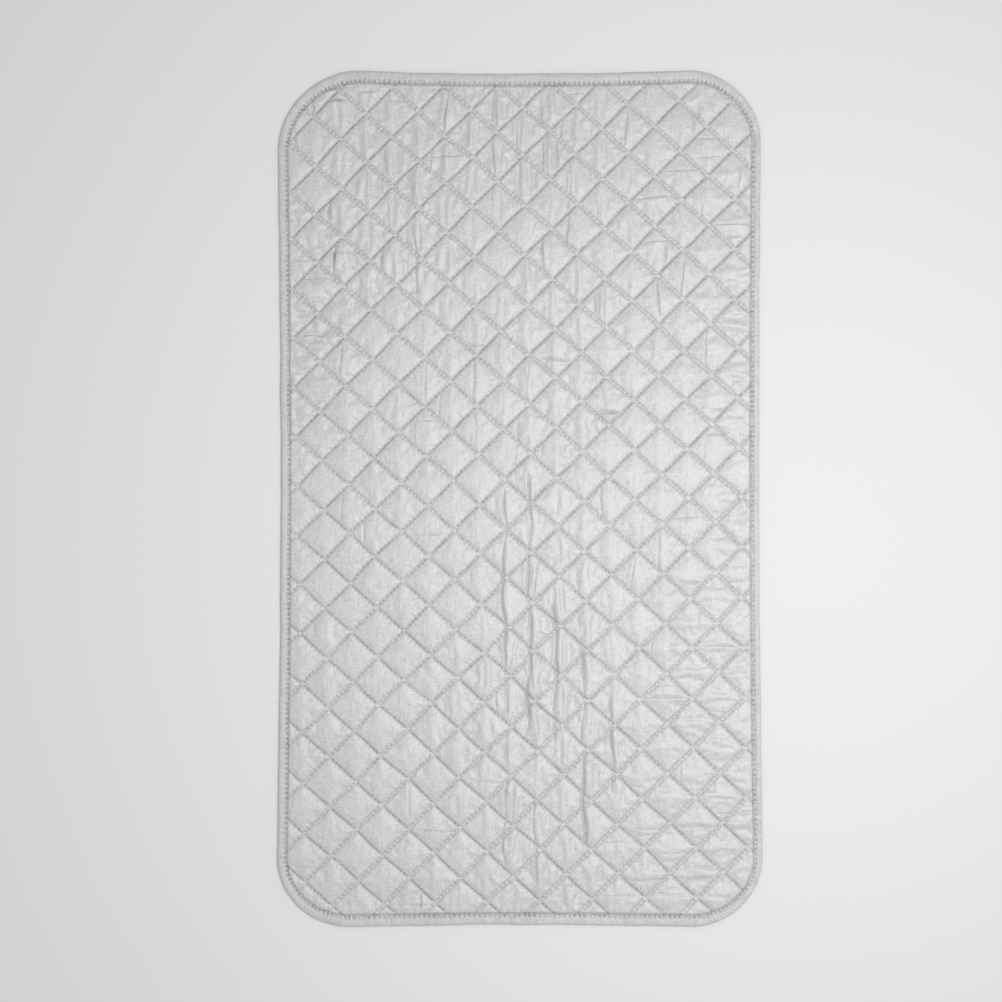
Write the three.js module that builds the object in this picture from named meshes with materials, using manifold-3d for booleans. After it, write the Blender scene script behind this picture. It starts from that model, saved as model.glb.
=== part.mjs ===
// An ironing pad: a quilted, padded mat with a bound edge that folds in half along its long centre line.
// Millimetres, +Z up. The pad lies flat with its silvered face up, and the origin is under its middle.
// X runs across the pad and Y along it. Each piece is made for the right leaf and mirrored for the left.

import * as THREE from 'three';
import { mergeVertices } from 'three/addons/utils/BufferGeometryUtils.js';
import Module from 'manifold-3d';

const solids = await Module();
solids.setup();

// Outline of the pad, seen from above
const PAD_WIDTH = 480;
const PAD_LENGTH = 850;
const CORNER_RADIUS = 75;
const CORNER_STEPS = 10;

// Layers: the two cloths, the wadding where the binding presses it flat, and the room between two layers
const COVER_THICKNESS = 0.5;
const BACKING_THICKNESS = 0.5;
const EDGE_WADDING = 0.8;
const LAYER_GAP = 0.3;

// Binding: a tape folded over the edge, with the same width on both faces
const TAPE_THICKNESS = 0.5;
const BINDING_WIDTH = 7.5;
const FOLD_STEPS = 4;

// Quilting: diamonds two columns wide and two rows high, with a seam on each of their sides
const COLUMNS_PER_LEAF = 9;
const ROWS = 34;
const SEAM_RISE = 0.2;
const CROWN_RISE = 4;
const TOP_SLOPE = 12;
const UNDERSIDE_SLOPE = 5;

// Thread: its thickness, and how far its row on the binding lies from the binding's inner edge
const THREAD = 0.5;
const BINDING_SEAM_INSET = 1.5;

// Room between the two leaves at the fold
const FOLD_GAP = 0.3;

// Heights over the surface that the pad lies on
const edgeBottom = TAPE_THICKNESS + LAYER_GAP;
const edgeTop = edgeBottom + BACKING_THICKNESS + EDGE_WADDING + COVER_THICKNESS + 2 * LAYER_GAP;
const bindingTop = edgeTop + LAYER_GAP + TAPE_THICKNESS;
const seamHeight = edgeTop + SEAM_RISE;
const crownHeight = seamHeight + CROWN_RISE;

// Distances in from the pad's outline
const foldRadius = bindingTop / 2;
const layerInset = foldRadius + LAYER_GAP;
const fieldInset = BINDING_WIDTH + LAYER_GAP;
const bindingSeam = BINDING_WIDTH - BINDING_SEAM_INSET;
const rowEndInset = fieldInset + THREAD / 2;

// Pitch of the quilting's columns and rows, which fill the field inside the binding
const leafStart = FOLD_GAP / 2;
const columnPitch = (PAD_WIDTH / 2 - fieldInset - leafStart) / COLUMNS_PER_LEAF;
const rowPitch = (PAD_LENGTH - 2 * fieldInset) / ROWS;
const columnAt = (column) => leafStart + column * columnPitch;
const rowAt = (row) => (row - ROWS / 2) * rowPitch;
const isCorner = (column, row) => (column + row) % 2 === 0;

// The pad's outline moved in by an inset, anticlockwise
function outline(inset) {
  const radius = CORNER_RADIUS - inset;
  const points = [];
  for (const [sideX, sideY, start] of [[1, 1, 0], [-1, 1, 90], [-1, -1, 180], [1, -1, 270]]) {
    for (let step = 0; step <= CORNER_STEPS; step++) {
      const angle = THREE.MathUtils.degToRad(start + (90 * step) / CORNER_STEPS);
      points.push([
        sideX * (PAD_WIDTH / 2 - CORNER_RADIUS) + radius * Math.cos(angle),
        sideY * (PAD_LENGTH / 2 - CORNER_RADIUS) + radius * Math.sin(angle),
      ]);
    }
  }
  return points;
}

function indexed(positions, triangles) {
  const geometry = new THREE.BufferGeometry();
  geometry.setAttribute('position', new THREE.Float32BufferAttribute(positions, 3));
  geometry.setIndex(triangles);
  return geometry;
}

// A skin through the outline at each [inset, height], closed into a ring or capped at its two ends
function skin(levels, ring) {
  const rounds = levels.map(([inset, height]) => outline(inset).map(([x, y]) => [x, y, height]));
  const count = rounds[0].length;
  const triangles = [];
  const walls = ring ? levels.length : levels.length - 1;
  for (let level = 0; level < walls; level++) {
    const low = level * count;
    const high = ((level + 1) % levels.length) * count;
    for (let k = 0; k < count; k++) {
      const next = (k + 1) % count;
      triangles.push(low + k, low + next, high + next, low + k, high + next, high + k);
    }
  }
  if (!ring) {
    const top = (levels.length - 1) * count;
    for (let k = 1; k < count - 1; k++) {
      triangles.push(0, k + 1, k, top, top + k, top + k + 1);
    }
  }
  return indexed(rounds.flat(2), triangles);
}

// A block under the quilted surface: seams along the sides of the diamonds, a crown in each middle
function quiltBlock(drop) {
  const columns = COLUMNS_PER_LEAF + 1;
  const firstRow = -1;
  const rows = ROWS + 2;
  const positions = [];
  for (const surface of ['top', 'bottom']) {
    for (let row = 0; row <= rows; row++) {
      for (let column = 0; column <= columns; column++) {
        const height = isCorner(column, firstRow + row) ? seamHeight : crownHeight;
        const z = surface === 'top' ? height - drop : -crownHeight;
        positions.push(columnAt(column), rowAt(firstRow + row), z);
      }
    }
  }
  const layer = (columns + 1) * (rows + 1);
  const at = (column, row) => row * (columns + 1) + column;
  const triangles = [];
  const face = (a, b, c) => triangles.push(a, b, c, layer + a, layer + c, layer + b);
  const wall = (a, b) => triangles.push(a, layer + a, layer + b, a, layer + b, b);
  for (let row = 0; row < rows; row++) {
    for (let column = 0; column < columns; column++) {
      const a = at(column, row);
      const b = at(column + 1, row);
      const c = at(column + 1, row + 1);
      const d = at(column, row + 1);
      if (isCorner(column, firstRow + row)) {
        face(a, b, c);
        face(a, c, d);
      } else {
        face(a, b, d);
        face(b, c, d);
      }
    }
  }
  for (let column = 0; column < columns; column++) {
    wall(at(column, 0), at(column + 1, 0));
    wall(at(column + 1, rows), at(column, rows));
  }
  for (let row = 0; row < rows; row++) {
    wall(at(columns, row), at(columns, row + 1));
    wall(at(0, row + 1), at(0, row));
  }
  return indexed(positions, triangles);
}

function toSolid(geometry) {
  const bare = new THREE.BufferGeometry();
  bare.setAttribute('position', geometry.getAttribute('position'));
  bare.setIndex(geometry.getIndex());
  const merged = mergeVertices(bare);
  const mesh = new solids.Mesh({
    numProp: 3,
    vertProperties: new Float32Array(merged.getAttribute('position').array),
    triVerts: new Uint32Array(merged.getIndex().array),
  });
  return new solids.Manifold(mesh);
}

function toGeometry(solid) {
  const mesh = solid.getMesh();
  const geometry = indexed(mesh.vertProperties, Array.from(mesh.triVerts)).toNonIndexed();
  geometry.computeVertexNormals();
  return geometry;
}

// The space of the right leaf
const leafRoom = toSolid(
  new THREE.BoxGeometry(PAD_WIDTH, 2 * PAD_LENGTH, PAD_WIDTH).translate(PAD_WIDTH / 2 + leafStart, 0, 0),
);

// All of the right leaf that lies under its top face lowered by a drop
function under(drop) {
  const hat = skin([
    [layerInset, 0],
    [layerInset, edgeTop - drop],
    [fieldInset, edgeTop - drop],
    [fieldInset + TOP_SLOPE, crownHeight - drop],
  ]);
  return toSolid(hat).intersect(toSolid(quiltBlock(drop)));
}

// All of the right leaf that lies over its underside raised by a rise
function over(rise) {
  const tray = skin([
    [fieldInset + UNDERSIDE_SLOPE, rise],
    [fieldInset, edgeBottom + rise],
    [layerInset, edgeBottom + rise],
    [layerInset, crownHeight],
  ]);
  return toSolid(tray).intersect(leafRoom);
}

// A tape bent round the edge: out along the underside, round the fold and back along the top
function bindingTape() {
  const outside = [];
  const inside = [];
  for (let step = 0; step <= FOLD_STEPS; step++) {
    const angle = -Math.PI / 2 + (Math.PI * step) / FOLD_STEPS;
    for (const [side, radius] of [[outside, foldRadius], [inside, foldRadius - TAPE_THICKNESS]]) {
      side.push([foldRadius - radius * Math.cos(angle), foldRadius + radius * Math.sin(angle)]);
    }
  }
  const profile = [
    [BINDING_WIDTH, 0],
    ...outside,
    [BINDING_WIDTH, bindingTop],
    [BINDING_WIDTH, bindingTop - TAPE_THICKNESS],
    ...inside.reverse(),
    [BINDING_WIDTH, TAPE_THICKNESS],
  ];
  return toSolid(skin(profile, true)).intersect(leafRoom);
}

// The row of thread that holds the binding down
function bindingThread() {
  const low = bindingTop + LAYER_GAP;
  const profile = [
    [bindingSeam + THREAD / 2, low],
    [bindingSeam - THREAD / 2, low],
    [bindingSeam - THREAD / 2, low + THREAD],
    [bindingSeam + THREAD / 2, low + THREAD],
  ];
  return toSolid(skin(profile, true)).intersect(leafRoom);
}

// Whether a point lies inside the line where the rows of quilting end, at the binding
function isInField(point) {
  const radius = CORNER_RADIUS - rowEndInset;
  const x = Math.max(Math.abs(point.x) - (PAD_WIDTH / 2 - CORNER_RADIUS), 0);
  const y = Math.max(Math.abs(point.y) - (PAD_LENGTH / 2 - CORNER_RADIUS), 0);
  return Math.hypot(x, y) <= radius;
}

// The last point in the field on the way from one point to another
function lastInField(from, to) {
  let inside = 0;
  let outside = 1;
  while (outside - inside > 0.001) {
    const middle = (inside + outside) / 2;
    if (isInField(from.clone().lerp(to, middle))) {
      inside = middle;
    } else {
      outside = middle;
    }
  }
  return from.clone().lerp(to, inside);
}

// The zigzag that one needle sews in its column, from the middle of the pad out to both of its ends
function zigzag(column) {
  const cornerIn = (row) => {
    const atLeft = isCorner(column, row);
    const x = atLeft ? columnAt(column) + THREAD : columnAt(column + 1) - THREAD;
    return new THREE.Vector2(x, rowAt(row));
  };
  const middle = Math.floor(ROWS / 2);
  const run = (step) => {
    const points = [];
    let row = middle;
    while (isInField(cornerIn(row + step))) {
      row += step;
      points.push(cornerIn(row));
    }
    points.push(lastInField(cornerIn(row), cornerIn(row + step)));
    return points;
  };
  return [...run(-1).reverse(), cornerIn(middle), ...run(1)];
}

// A thread of square section along a path, lying in the seam
function quiltingThread(path) {
  const normals = path.slice(1).map((point, k) => {
    const along = point.clone().sub(path[k]).normalize();
    return new THREE.Vector2(-along.y, along.x);
  });
  const offsets = path.map((point, k) => {
    const before = normals[Math.max(k - 1, 0)];
    const after = normals[Math.min(k, normals.length - 1)];
    const mitre = before.clone().add(after).normalize();
    return mitre.multiplyScalar(THREAD / 2 / mitre.dot(before));
  });
  const left = path.map((point, k) => point.clone().add(offsets[k]));
  const right = path.map((point, k) => point.clone().sub(offsets[k]));
  const shape = new THREE.Shape([...right, ...left.reverse()]);
  const geometry = new THREE.ExtrudeGeometry(shape, { depth: THREAD, bevelEnabled: false });
  return geometry.translate(0, 0, seamHeight + LAYER_GAP);
}

const looks = {
  cover: { color: 0xcfd0d0, roughness: 0.6, metalness: 0.1 },
  wadding: { color: 0xf2f0ea, roughness: 0.95, metalness: 0 },
  backing: { color: 0xc4c5c6, roughness: 0.85, metalness: 0 },
  binding: { color: 0xd2d3d3, roughness: 0.65, metalness: 0.05 },
  thread: { color: 0xb9babb, roughness: 0.7, metalness: 0 },
};

const coverSheet = under(0).subtract(under(COVER_THICKNESS));
const waddingTop = under(COVER_THICKNESS + LAYER_GAP);
const waddingBatt = waddingTop.intersect(over(BACKING_THICKNESS + LAYER_GAP));
const backingSheet = over(0).subtract(over(BACKING_THICKNESS));

const pieces = [
  ['top_cover', toGeometry(coverSheet), looks.cover],
  ['wadding', toGeometry(waddingBatt), looks.wadding],
  ['backing', toGeometry(backingSheet), looks.backing],
  ['edge_binding', toGeometry(bindingTape()), looks.binding],
  ['binding_thread', toGeometry(bindingThread()), looks.thread],
];
for (let column = 0; column < COLUMNS_PER_LEAF; column++) {
  pieces.push([`quilting_thread_${column + 1}`, quiltingThread(zigzag(column)), looks.thread]);
}

const pad = new THREE.Group();
pad.name = 'ironing_pad';
for (const [side, mirror] of [['left', -1], ['right', 1]]) {
  const leaf = new THREE.Group();
  leaf.name = `${side}_leaf`;
  leaf.scale.x = mirror;
  for (const [name, geometry, look] of pieces) {
    const mesh = new THREE.Mesh(geometry, new THREE.MeshStandardMaterial(look));
    mesh.name = `${side}_${name}`;
    leaf.add(mesh);
  }
  pad.add(leaf);
}

export default pad;
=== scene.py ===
import math
from collections import namedtuple

import bpy
import numpy as np
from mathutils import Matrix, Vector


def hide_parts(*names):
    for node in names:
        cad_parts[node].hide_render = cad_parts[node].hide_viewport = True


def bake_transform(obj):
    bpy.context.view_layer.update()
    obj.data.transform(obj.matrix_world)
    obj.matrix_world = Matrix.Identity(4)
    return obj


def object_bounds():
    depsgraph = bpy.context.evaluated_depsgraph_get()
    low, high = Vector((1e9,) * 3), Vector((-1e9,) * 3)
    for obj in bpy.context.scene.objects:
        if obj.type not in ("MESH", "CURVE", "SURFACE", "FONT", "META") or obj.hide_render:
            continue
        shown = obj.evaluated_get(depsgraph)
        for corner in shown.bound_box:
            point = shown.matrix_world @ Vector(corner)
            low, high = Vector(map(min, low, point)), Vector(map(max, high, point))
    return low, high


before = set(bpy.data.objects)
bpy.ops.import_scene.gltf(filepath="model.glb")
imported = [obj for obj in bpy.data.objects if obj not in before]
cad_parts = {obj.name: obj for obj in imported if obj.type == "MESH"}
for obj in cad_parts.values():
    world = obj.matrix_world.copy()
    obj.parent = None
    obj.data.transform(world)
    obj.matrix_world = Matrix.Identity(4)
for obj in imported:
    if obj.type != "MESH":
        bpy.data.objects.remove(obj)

# Quilted ironing pad, silver side up: x to the right and y up the photo. Lengths are in millimetres until a
# mesh is made. The flat sizes of the sheets, the scales of the materials and the stage are in metres.
MM = 0.001
TINY = 1e-6
cad_low, cad_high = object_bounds()
PAD_SEED = 11
rng = np.random.default_rng(PAD_SEED)

# Outline: a rounded rectangle of the CAD's size. Its sides are drawn in at their middles and grow towards
# their ends, and the long sides lose a little towards the far end.
HALF_WIDTH, HALF_LENGTH = (round(reach / MM, 2) for reach in cad_high[:2])
CORNER_RADII = {(1, 1): 72.5, (-1, 1): 85.0, (-1, -1): 71.0, (1, -1): 70.5}
LEFT_MIDDLE, LEFT_GROWTH, LEFT_LOSS = 237.3, 3.2, 0.25
RIGHT_MIDDLE, RIGHT_GROWTH, RIGHT_LOSS = 237.8, 2.5, 1.0
FAR_MIDDLE, FAR_GROWTH = 422.0, 3.5
NEAR_MIDDLE, NEAR_GROWTH = 423.0, 2.0
MOST_HALF_WIDTH = HALF_WIDTH + 1.5
STRAIGHT_HALF_WIDTH = HALF_WIDTH - 70
STRAIGHT_HALF_LENGTH = HALF_LENGTH - 75
FIELD_MARGIN = 20

# The diamond lattice of the quilting: unit normal, first line and pitch of the rising and of the falling
# seams, and how many lines of each it has on both sides of the first.
SeamLines = namedtuple("SeamLines", "normal_x normal_y first pitch")
RISING = SeamLines(0.7076, -0.7066, 11.88, 35.63)
FALLING = SeamLines(0.6683, 0.7439, 4.56, 35.82)
LATTICE_REACH = 14

# How the sewn lattice departs from straight lines: it is sheared, bent and twisted, and its seams wander.
SHIFT_X, SHEAR_X = -0.6, 0.8
SHIFT_Y, BEND_ACROSS, TWIST, BEND_ALONG = 0.9, -1.5, 2.4, -1.3
WANDER_X, WANDER_Y = 0.7, 0.6

# Heights above the table. A pillow rises over its shoulder at a seam and over its edge at the binding.
SEAM_HEIGHT = 3.4
PILLOW_RISE = 1.6
PILLOW_SHOULDER = 2.8
PILLOW_EDGE = 2.5
WADDING_HEIGHT = 1.75
WADDING_RISE = 0.6
WADDING_BOTTOM = 1.4
WADDING_SAG = 0.8
WADDING_CLEARANCE = 0.1
WADDING_EDGE_INSET = 5.0
BACKING_HEIGHT = 0.1

# Cells to a diamond side: on the cover as shown, on the cloth that is gathered, and on the layers below.
COVER_CELLS = 45
CLOTH_CELLS = 15
BACKING_CELLS = 30
WADDING_CELLS = 10

# Seams: seven and a half stitches to a diamond side, each a short bead of thread in a groove, with a slit
# between beads. A loose seam also has slits on both sides of its thread. The cloth puckers beside it.
STITCHES_PER_SIDE = 7.5
GROOVE_DEPTH = 0.4
GROOVE_HALF_WIDTH = 1.0
GROOVE_SHARPNESS, GROOVE_SHARPER_BY_PULL = 0.3, 0.6
SLIT_DEPTH = 0.7
SLIT_HALF_WIDTH = 0.62
SLIT_HALF_LENGTH = 1.6
SLIT_ASIDE, SLIT_ASIDE_SHARE = 1.58, 0.8
PUCKER_RISE = 0.22
PUCKER_ASIDE, PUCKER_HALF_WIDTH = 2.0, 1.2
CORNER_EASE = 3.0

# Pull of the thread: its changes along and across the pad and from place to place, its limits, the pull at
# which a seam begins to shut over its thread, and how much more shuts it. The pull also scales the painted
# shade in a seam's groove and slits, so tighter seams are painted darker.
PULL_LEAN, PULL_ALONG, PULL_ACROSS, PULL_SPREAD = 0.12, 0.7, 0.2, 0.2
LEAST_PULL, MOST_PULL = 0.55, 1.5
LOOSE_PULL, SHUTTING_PULL = 0.5, 0.9

# Thread: a bead is straight in the middle, with tips that dip. Its width and its place aside and along the
# seam vary. It lies deeper in a tight seam and is thinner there.
STITCH_WIDTH = 1.5
STITCH_SHOWN = 0.48
BEAD_SIDES = 6
BEAD_HALF_STRAIGHT = 0.26
BEAD_DIP = -1.2
BEAD_FLATNESS = 0.4
LEAST_WIDTH, MOST_WIDTH = 0.75, 1.1
SPREAD_ASIDE, SPREAD_ALONG = 0.2, 0.25
THREAD_LIFT, THREAD_SINK = 0.4, 1.15
LOOSE_PLUMPNESS, TIGHT_LOSS = 1.35, 0.6
BOBBIN_LIFT = 0.45
BOBBIN_WIDTH = STITCH_WIDTH * 0.8

# Binding: the tape and its stitches reach further in on the short sides. The layers end inside the tape.
BINDING_WIDTH = 8.9
BINDING_WIDER = 0.28
BINDING_STITCH_PITCH = 4.95
BINDING_STITCH_INSET = 7.2
BINDING_STITCH_WIDTH = STITCH_WIDTH * 1.1
BINDING_STITCH_LEVEL, BINDING_BOBBIN_LEVEL = 2.7, 0.35
STATIONS_PER_STITCH = 5
LAYER_EDGE_INSET = 3.0

# The tape's section, from its hem on top, round the edge, to its hem below: distance inwards and height.
BINDING_SECTION = np.array([
    (8.9, 2.4), (8.85, 2.9), (8.4, 3.0), (7.9, 2.75), (7.5, 2.45), (6.9, 2.45), (6.3, 2.8), (5.5, 3.1),
    (4.5, 3.3), (3.2, 3.45), (2.0, 3.45), (1.0, 3.35), (0.35, 3.05), (0.08, 2.6), (0.0, 1.9), (0.15, 1.1),
    (0.6, 0.5), (1.4, 0.2), (2.6, 0.05), (4.2, 0.05), (6.0, 0.1), (7.2, 0.45), (8.0, 0.1), (8.8, 0.1),
    (8.9, 0.35),
])

# Relief of the tape: wavering hems, and on its upper side puckers and a pit at each needle hole.
HEM_WAVER = 0.2
TAPE_PUCKER = 0.2
PIT_DEPTH, PIT_HALF_LENGTH, PIT_HALF_WIDTH = 0.9, 1.2, 1.4
UPPER_LEVEL, UPPER_RUN = 2.1, 0.4

# Places on the tape where it is folded over across its width, and the ridge and the valley of such a fold.
TAPE_FOLDS = ((-107, 418), (-237, 355), (-155, -421), (-131, -421), (-82, -419), (108, -416))
TAPE_FOLD_REACH = 14
RIDGE_RISE, RIDGE_HALF_WIDTH = 0.5, 1.2
VALLEY_FALL, VALLEY_BESIDE, TAPE_VALLEY_HALF_WIDTH = 0.6, 2.0, 1.0

# Gathering of the cover, worked out on cloth ten times as large, which suits the solver. No place moves
# more than the most along an axis, and a share of each diamond's overall swelling is evened out again.
CLOTH_SCALE = 10
CLOTH_FRAMES = 15
CLOTH_SEWN_FRAME = 11
CLOTH_MOST = 2.5
CLOTH_EVENED = 0.6
CLOTH_UNEVENNESS = 0.05
CLOTH_SEED = 5
PIN_REACH = 0.1
CLOTH_SETTINGS = {
    "vertex_group_mass": "seams",
    "quality": 4,
    "mass": 0.2,
    "tension_stiffness": 40,
    "compression_stiffness": 40,
    "shear_stiffness": 20,
    "bending_stiffness": 1,
    "air_damping": 5,
    "use_pressure": True,
    "uniform_pressure_force": 0.5,
}

# Slack of the cloth, as shares: the least across and along the pad, hills of it, each with its share, centre
# x and y and reach in x and y, and how it varies in patches.
SLACK_ACROSS, SLACK_ALONG = 0.013, 0.009
HILLS_ACROSS = ((0.045, 30, -210, 75, 180), (0.05, 0, 320, 90, 120), (0.06, -160, 300, 90, 150))
HILLS_ALONG = ((0.04, 200, -260, 75, 170), (0.07, -215, 190, 50, 120), (0.03, 225, 130, 40, 170))
PATCH_SPREAD, LEAST_PATCH, MOST_PATCH = 0.5, 0.2, 2.2

# The strongest creases, listed one by one. Upright ones have x, lower y, upper y and rise. Lying ones have y,
# left x, right x and rise.
UPRIGHT_CREASES = (
    (-16, -180, 12, 1.2), (9, -229, 29, 1.5), (35, -264, -95, 1.9), (62, -250, -130, 1.6),
    (64, -353, -249, 2.2), (91, -294, -190, 1.5), (-15, -373, -274, 1.0), (15, -383, -289, 1.0),
    (139, -80, -31, 1.1), (20, 376, 406, 1.0), (-3, 307, 381, 0.9), (-28, 287, 356, 1.0),
    (48, 247, 352, 1.0), (-134, 317, 356, 1.4), (-104, 203, 272, 1.1), (-3, 15, 78, 0.9),
    (-45, 59, 148, 0.7), (-205, 376, 404, 2.2), (-208, 343, 374, 2.0), (-199, 342, 370, 1.5),
    (-223, 348, 370, 1.6), (-190, 278, 300, 1.3),
)
LYING_CREASES = (
    (-326, 150, 205, 1.0), (-379, 108, 152, 1.0), (-367, 150, 197, 0.9), (-283, 206, 229, 1.0),
    (-314, 194, 218, 0.9), (-291, 163, 195, 0.7), (-328, 110, 145, 0.8), (-352, 138, 170, 0.8),
    (219, -223, -182, 1.2), (163, -223, -185, 1.0), (204, -128, -100, 0.9), (113, -215, -180, 0.8),
    (-367, -228, -206, 1.0), (64, 185, 212, 0.9), (88, 188, 212, 0.7), (407, -198, -172, 2.4),
    (396, -194, -172, 1.8), (396, -136, -112, 1.8), (405, -162, -143, 1.8), (407, -90, -68, 1.4),
)

# Short creases: how many to a diamond for its share of slack, how far a diamond reaches from its middle,
# how far from the middle a crease may lie as a share of that, and its rise and tilt.
CREASES_PER_SLACK = 9
DIAMOND_REACH = 25
SHORT_OFFSET = 0.6
SHORT_RISE_LEAST, SHORT_RISE_MOST = 0.4, 1.1
SHORT_TILT_SPREAD = 0.08

# Form of a crease: softness by kind, waves of its line as (width, length, phase), tapered ends, uneven
# strength, a lip that steps up and sinks back, a valley beside it, and the strip in which it is worked out.
UPRIGHT_SOFTNESS, LYING_SOFTNESS, SHORT_SOFTNESS = 0.75, 0.4, 0.15
SWAY = 1.3
SWAY_WAVES = ((1.6, 19, 1), (0.8, 7.3, 2))
TAPER_MOST, TAPER_SHARE = 16, 0.3
STRENGTH_MEAN, STRENGTH_SPREAD, STRENGTH_LEAST, STRENGTH_MOST = 0.85, 0.4, 0.2, 1.5
LIP_STEP, LIP_START, LIP_REACH, LIP_REACH_SOFTER = 0.6, 2.5, 6, 4
VALLEY_DEPTH, VALLEY_ASIDE, VALLEY_HALF_WIDTH, VALLEY_WIDER_BY_RISE = 1.5, 0.4, 0.6, 0.5
STRIP_MIDDLE, STRIP_HALF_WIDTH = 10, 25

# Relief of the whole cover: fine streaks, grain and a wide swell, within an edge from the binding. A crease
# is lower on a seam. Beside the tape the cover is pressed down.
FIELD_EDGE = 3
STREAK_RISE, GRAIN_RISE, SWELL_RISE = 0.05, 0.05, 0.3
CREASE_ON_SEAM, CREASE_GROWTH = 0.5, 6
PRESS_DEPTH, PRESS_BESIDE, PRESS_RUN = 1.6, 1.3, 1.8

# Relief of the backing: tucked up along the seams, in the slits and under the tape's hem.
BACKING_TUCK = 0.8
TUCK_REACH = 1.8
TUCK_IN_SLIT = 0.4
HEM_TUCK_BESIDE, HEM_TUCK_RUN = 1.5, 2
BACKING_STREAK = 0.06

# Painted shade, colour darkened where shade falls: its shares in grooves, slits, the line at the hem, deep
# creases and the tape's stitches, its limits, and where the line, the deep creases and the tape's seam are.
GROOVE_PAINTED_SHADE, SLIT_PAINTED_SHADE, HEM_PAINTED_SHADE, CREASE_PAINTED_SHADE, PIT_PAINTED_SHADE, TAPE_SEAM_PAINTED_SHADE = 0.3, 0.7, 0.6, 0.6, 1.1, 0.5
MOST_PAINTED_SHADE, MOST_PAINTED_SHADE_BELOW = 1.3, 1.2
HEM_LINE_BESIDE, HEM_LINE_HALF_WIDTH = 0.4, 0.7
DEEP_CREASE, DEEP_CREASE_RUN = 1, 1.5
TAPE_SEAM_BESIDE, TAPE_SEAM_HALF_WIDTH = 0.9, 1.0

# Maps for baking: the flat one is seen nearly from above, and the tape's is cut into rows with margins.
MAP_TILT = np.array([0.4, 0.1])
MAP_SPAN = 2.1 * HALF_LENGTH
MAP_ROWS = 10
MAP_END_MARGIN, MAP_ROW_MARGIN = 0.01, 0.05

# The number of quilting threads on each half of the pad.
ROWS_PER_LEAF = 9

# Looks of cloth: scale and detail of its flecks, slubs and clouds, their shares of its tone, the share of
# painted shade, the stops of its colour as (tone, share of the colour), and its relief.
FLECK_SCALE, FLECK_DETAIL = 520, 3
SLUB_SCALE, SLUB_DETAIL, SLUB_STRETCH = 600, 2, (1, 0.15, 1)
CLOUD_SCALE, CLOUD_DETAIL = 30, 4
FLECK_TONE, SLUB_TONE, CLOUD_TONE, PAINTED_SHADE_TONE = 0.65, 0.2, 0.15, 0.32
DARK_STOP, LOW_STOP, LIGHT_STOP = (0.0, 0.45), (0.3, 0.82), (0.72, 1.2)
WEAVE_DISTORTION, WEAVE_RELIEF = 1.5, 0.6
BUMP_STRENGTH, BUMP_DISTANCE = 0.4, 0.0002
ROUGHNESS_SPREAD = 0.2

# Stage: a floor just under the pad, an even sky, one soft lamp and the photo's camera.
FLOOR_SIZE, FLOOR_LEVEL = 8, -0.0002
FLOOR_COLOUR, FLOOR_ROUGHNESS = (0.80, 0.80, 0.80, 1), 0.9
SKY_COLOUR, SKY_STRENGTH = (1, 1, 1, 1), 0.6
KEY_PLACE, KEY_TARGET, KEY_SIZE, KEY_POWER = (0.38, -0.05, 1.15), (0, 0, 0), 0.35, 6.7
CAMERA_PLACE = (-0.0189, -0.0020, 2.4925)
CAMERA_SENSOR, CAMERA_LENS = 36, 90


def half_extents(x, y):
    """Half width and half length of the pad at a place."""
    t = y / STRAIGHT_HALF_LENGTH
    s = np.minimum((x / STRAIGHT_HALF_WIDTH) ** 2, 1)
    left = LEFT_MIDDLE + LEFT_GROWTH * t * t - LEFT_LOSS * t
    right = RIGHT_MIDDLE + RIGHT_GROWTH * t * t - RIGHT_LOSS * t
    tall = np.where(y > 0, FAR_MIDDLE + FAR_GROWTH * s, NEAR_MIDDLE + NEAR_GROWTH * s)
    return np.minimum(np.where(x > 0, right, left), MOST_HALF_WIDTH), tall


def to_plain(x, y):
    """A place on the drawn-in pad, carried to the plain rounded rectangle."""
    wide, tall = half_extents(x, y)
    return x * HALF_WIDTH / wide, y * HALF_LENGTH / tall


def to_pad(x, y):
    """A place on the plain rounded rectangle, carried to the drawn-in pad."""
    wide, tall = half_extents(x, y)
    return x * wide / HALF_WIDTH, y * tall / HALF_LENGTH


def depth_inside(x, y):
    """Distance inwards from the outline, and the same in the measure of the binding, which is wider on the
    short sides."""
    x, y = to_plain(x, y)
    radius = np.zeros_like(x)
    for (sx, sy), corner_radius in CORNER_RADII.items():
        radius = np.where(((x >= 0) == (sx > 0)) & ((y >= 0) == (sy > 0)), corner_radius, radius)
    past_x = np.abs(x) - (HALF_WIDTH - radius)
    past_y = np.abs(y) - (HALF_LENGTH - radius)
    corner = np.hypot(np.maximum(past_x, 0), np.maximum(past_y, 0))
    depth = radius - corner - np.minimum(np.maximum(past_x, past_y), 0)
    in_corner = np.maximum(past_y, 0) ** 2 / np.maximum(corner, TINY) ** 2
    upright = np.where(corner > 0, in_corner, past_y > past_x)
    return depth, depth / (1 + BINDING_WIDER * upright)


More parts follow.
